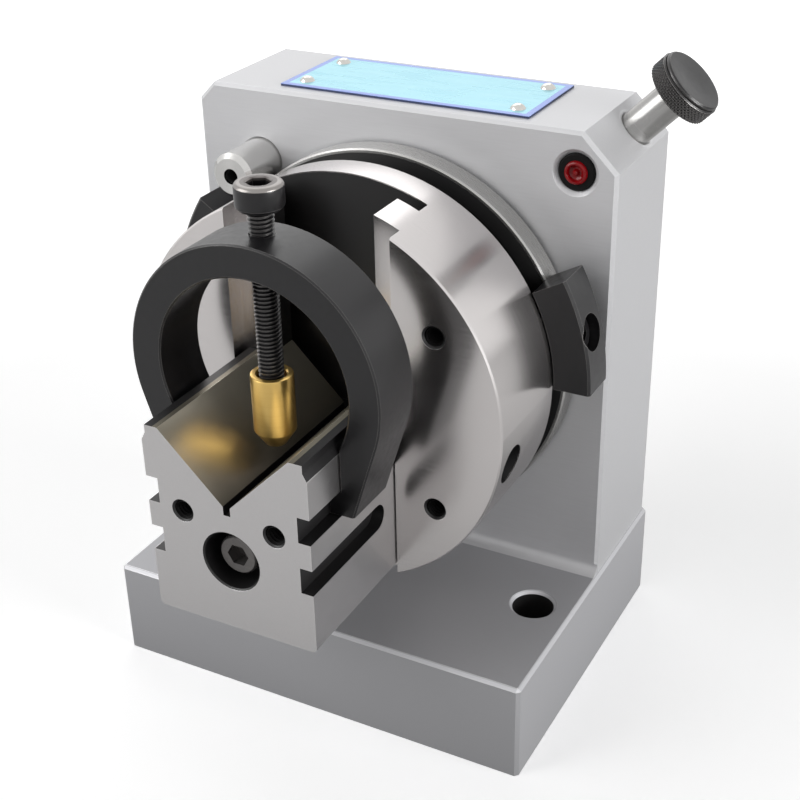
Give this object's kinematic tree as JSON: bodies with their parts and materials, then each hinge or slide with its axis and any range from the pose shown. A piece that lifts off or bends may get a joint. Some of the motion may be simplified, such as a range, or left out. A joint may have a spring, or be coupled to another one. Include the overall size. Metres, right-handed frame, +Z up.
{
  "type": "punch former",
  "caption": "Indexing punch former: upright housing with a turning slotted faceplate that carries a V-block and a ring clamp with a swivel tip.",
  "frame": {"origin": "on the underside of the base, below the spindle, in the plane of the upright's front face", "axes": "+X to the right seen from the front, +Y from the V-block's front end to the hand dial along the spindle, +Z up"},
  "size_m": [0.1348, 0.1753, 0.1645],
  "materials": {
    "ground_steel": "fine ground",
    "bright_steel": "bright ground and turned",
    "black_steel": "black oxide",
    "bronze": "turned bearing bronze",
    "brass": "turned brass",
    "spring_wire": "drawn wire",
    "satin_dial": "satin turned",
    "plate_blue": "thin coloured plate",
    "rivet_metal": "domed bright",
    "red_plastic": "red gloss",
    "black_plastic": "black gloss"
  },
  "bodies": {
    "frame": {"housing": "ground_steel", "front_bush": "bronze", "rear_cover": "ground_steel", "rear_bush": "bronze", "cover_screws": "black_steel", "name_plate": "plate_blue", "plate_rivets": "rivet_metal", "oil_ring": "black_steel", "oil_plug": "red_plastic", "stop_grub": "black_steel", "plunger_sleeve": "bright_steel", "plunger_spring": "spring_wire"},
    "spindle_head": {"spindle": "bright_steel", "flange_screws": "black_steel", "faceplate": "bright_steel", "side_set_screw": "black_steel", "index_ring": "bright_steel", "index_key": "bright_steel", "lock_nut": "black_steel", "hand_dial": "satin_dial", "dial_set_screw": "black_steel", "dial_washer": "bright_steel", "dial_screw": "black_steel", "grip_pin": "bright_steel"},
    "grip_body": {"grip": "black_plastic"},
    "right_dog_body": {"right_dog": "black_steel", "right_dog_screw": "black_steel", "right_dog_nut": "black_steel"},
    "left_dog_body": {"left_dog": "black_steel", "left_dog_screw": "black_steel", "left_dog_nut": "black_steel"},
    "block_body": {"v_block": "ground_steel"},
    "lock_screw_body": {"lock_screw": "black_steel"},
    "t_plate_body": {"t_plate": "black_steel"},
    "ring_body": {"clamp_ring": "black_steel"},
    "tip_body": {"clamp_tip": "brass", "tip_ring": "spring_wire"},
    "clamp_screw_body": {"clamp_screw": "black_steel"},
    "stop_pin_body": {"stop_pin": "bright_steel"},
    "plunger_body": {"plunger": "bright_steel", "plunger_knob": "black_steel"}
  },
  "joints": [
    {"name": "spindle_turn", "type": "hinge", "parent": "frame", "child": "spindle_head", "pos_m": [0, 0, 0.09], "axis": [0, -1, 0], "range_deg": [0, 90]},
    {"name": "grip_spin", "type": "hinge", "parent": "spindle_head", "child": "grip_body", "pos_m": [-0.01732, 0.053, 0.07268], "axis": [0, 1, 0], "continuous": true},
    {"name": "right_dog_set", "type": "hinge", "parent": "spindle_head", "child": "right_dog_body", "pos_m": [0, 0, 0.09], "axis": [0, -1, 0], "range_deg": [-60, 60]},
    {"name": "left_dog_set", "type": "hinge", "parent": "spindle_head", "child": "left_dog_body", "pos_m": [0, 0, 0.09], "axis": [0, -1, 0], "range_deg": [-5, 60]},
    {"name": "block_slide", "type": "slide", "parent": "spindle_head", "child": "block_body", "axis": [0, 0, 1], "range_m": [-0.012, 0.008]},
    {"name": "plate_slide", "type": "slide", "parent": "block_body", "child": "t_plate_body", "axis": [0, 1, 0], "range_m": [0, 0.000236]},
    {"name": "lock_turn", "type": "hinge", "parent": "block_body", "child": "lock_screw_body", "pos_m": [0, -0.07, 0.0658], "axis": [0, -1, 0], "range_deg": [0, 85]},
    {"name": "ring_slide", "type": "slide", "parent": "block_body", "child": "ring_body", "axis": [0, 1, 0], "range_m": [-0.013, 0.0095]},
    {"name": "tip_slide", "type": "slide", "parent": "ring_body", "child": "tip_body", "axis": [0, 0, 1], "range_m": [-0.0035, 0.02]},
    {"name": "screw_turn", "type": "hinge", "parent": "tip_body", "child": "clamp_screw_body", "pos_m": [0, -0.062, 0.12], "axis": [0, 0, 1], "continuous": true},
    {"name": "stop_slide", "type": "slide", "parent": "frame", "child": "stop_pin_body", "axis": [0, 1, 0], "range_m": [0, 0.015]},
    {"name": "plunger_pull", "type": "slide", "parent": "frame", "child": "plunger_body", "axis": [0.7071, 0, 0.7071], "range_m": [0, 0.006], "stiffness_N_per_m": 800, "springref_m": -0.006, "deforming": ["plunger_spring"]}
  ],
  "couplings": [
    {"joint": "lock_turn", "follows": "plate_slide", "rad_per_m": 6283.2},
    {"joint": "screw_turn", "follows": "tip_slide", "rad_per_m": 6283.2}
  ]
}
